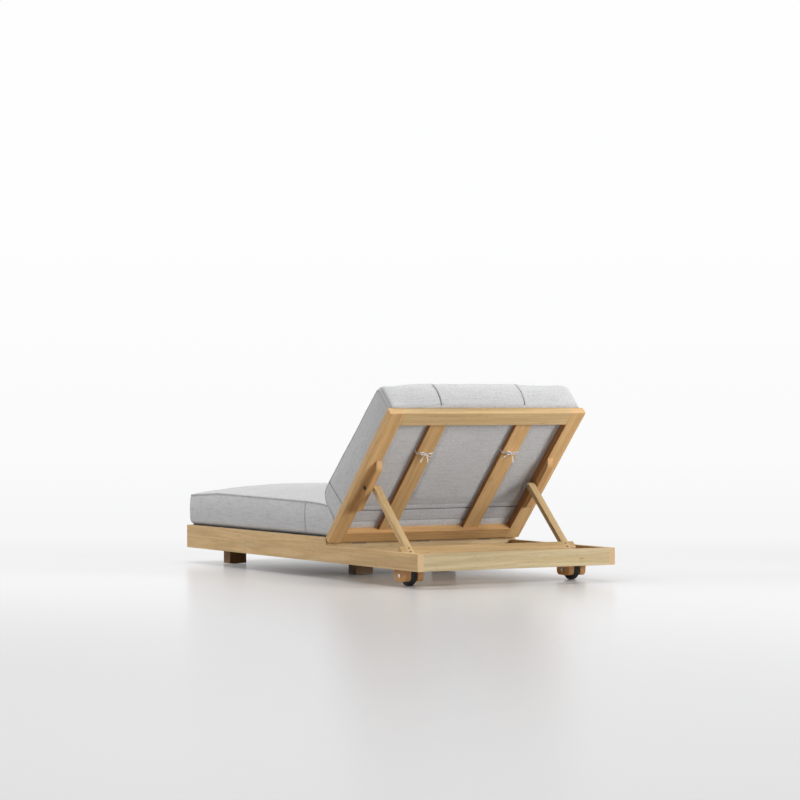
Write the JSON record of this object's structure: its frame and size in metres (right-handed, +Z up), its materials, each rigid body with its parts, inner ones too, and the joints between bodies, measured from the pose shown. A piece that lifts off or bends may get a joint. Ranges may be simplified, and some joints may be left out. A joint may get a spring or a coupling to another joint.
{
  "type": "chaise lounger",
  "caption": "Wide low timber chaise lounger with seat and back cushions, a hinged reclining back on a folding prop, wooden legs at the foot and wheels at the head.",
  "frame": {"origin": "on the floor, under the middle of the base frame's length and width", "axes": "+X towards the sitter's left, +Y from foot to head, +Z up"},
  "size_m": [1, 2.2, 0.86],
  "materials": {
    "wood": "oiled honey-coloured hardwood, fine grain",
    "inner_wood": "sawn hardwood under the seat",
    "dowel": "beech dowel",
    "cushion": "light grey heathered outdoor weave",
    "tie": "pale grey tape",
    "tyre": "black rubber",
    "hub": "black moulded plastic",
    "glide": "black nylon",
    "steel": "stainless steel"
  },
  "bodies": {
    "base": {"side_rail_left": "wood", "side_rail_right": "wood", "foot_rail": "wood", "head_rail": "wood", "hinge_beam": "wood", "foot_bearer": "inner_wood", "middle_bearer": "inner_wood", "wheel_beam": "wood", "slat_ledger_left": "inner_wood", "slat_ledger_right": "inner_wood", "seat_spine": "inner_wood", "seat_slats": "inner_wood", "leg_foot_left": "wood", "leg_foot_right": "wood", "leg_middle_left": "wood", "leg_middle_right": "wood", "leg_glides": "glide", "prop_rack_left": "wood", "prop_rack_right": "wood", "wheel_cheek_left_outer": "wood", "wheel_cheek_left_inner": "wood", "wheel_cheek_right_outer": "wood", "wheel_cheek_right_inner": "wood", "wheel_axles": "steel", "axle_nuts": "steel", "base_dowels": "dowel", "rail_screws": "steel", "slat_screws": "steel", "leg_screws": "steel", "hinge_fixed_leaves": "steel", "hinge_pins": "steel", "hinge_fixed_screws": "steel", "seat_cushion": "cushion"},
    "wheel_left": {"tyre_left": "tyre", "wheel_hub_left": "hub"},
    "wheel_right": {"tyre_right": "tyre", "wheel_hub_right": "hub"},
    "backrest": {"back_stile_left": "wood", "back_stile_right": "wood", "back_top_rail": "wood", "back_bottom_rail": "wood", "back_slat_left": "wood", "back_slat_right": "wood", "frame_dowels": "dowel", "pivot_block_left": "wood", "pivot_block_right": "wood", "block_screws": "steel", "pivot_bolts": "steel", "pivot_nuts": "steel", "pivot_spacers": "steel", "hinge_moving_leaves": "steel", "hinge_moving_screws": "steel", "back_cushion": "cushion", "cushion_tie_left": "tie", "cushion_tie_right": "tie"},
    "prop_frame": {"prop_arm_left": "wood", "prop_arm_right": "wood", "prop_cross_board": "wood", "prop_screws": "steel"}
  },
  "joints": [
    {"name": "back_recline", "type": "hinge", "parent": "base", "child": "backrest", "pos_m": [0, 0.305, 0.1785], "axis": [1, 0, 0], "range_deg": [-46.3, 0]},
    {"name": "prop_fold", "type": "hinge", "parent": "backrest", "child": "prop_frame", "pos_m": [0, 0.58096, 0.40721], "axis": [1, 0, 0], "range_deg": [0, 88.7]},
    {"name": "wheel_spin_left", "type": "hinge", "parent": "base", "child": "wheel_left", "pos_m": [0.4155, 0.885, 0.045], "axis": [1, 0, 0], "continuous": true},
    {"name": "wheel_spin_right", "type": "hinge", "parent": "base", "child": "wheel_right", "pos_m": [-0.4155, 0.885, 0.045], "axis": [1, 0, 0], "continuous": true}
  ],
  "couplings": [
    {"joint": "prop_fold", "follows": "back_recline", "ratio": -1.9157}
  ]
}
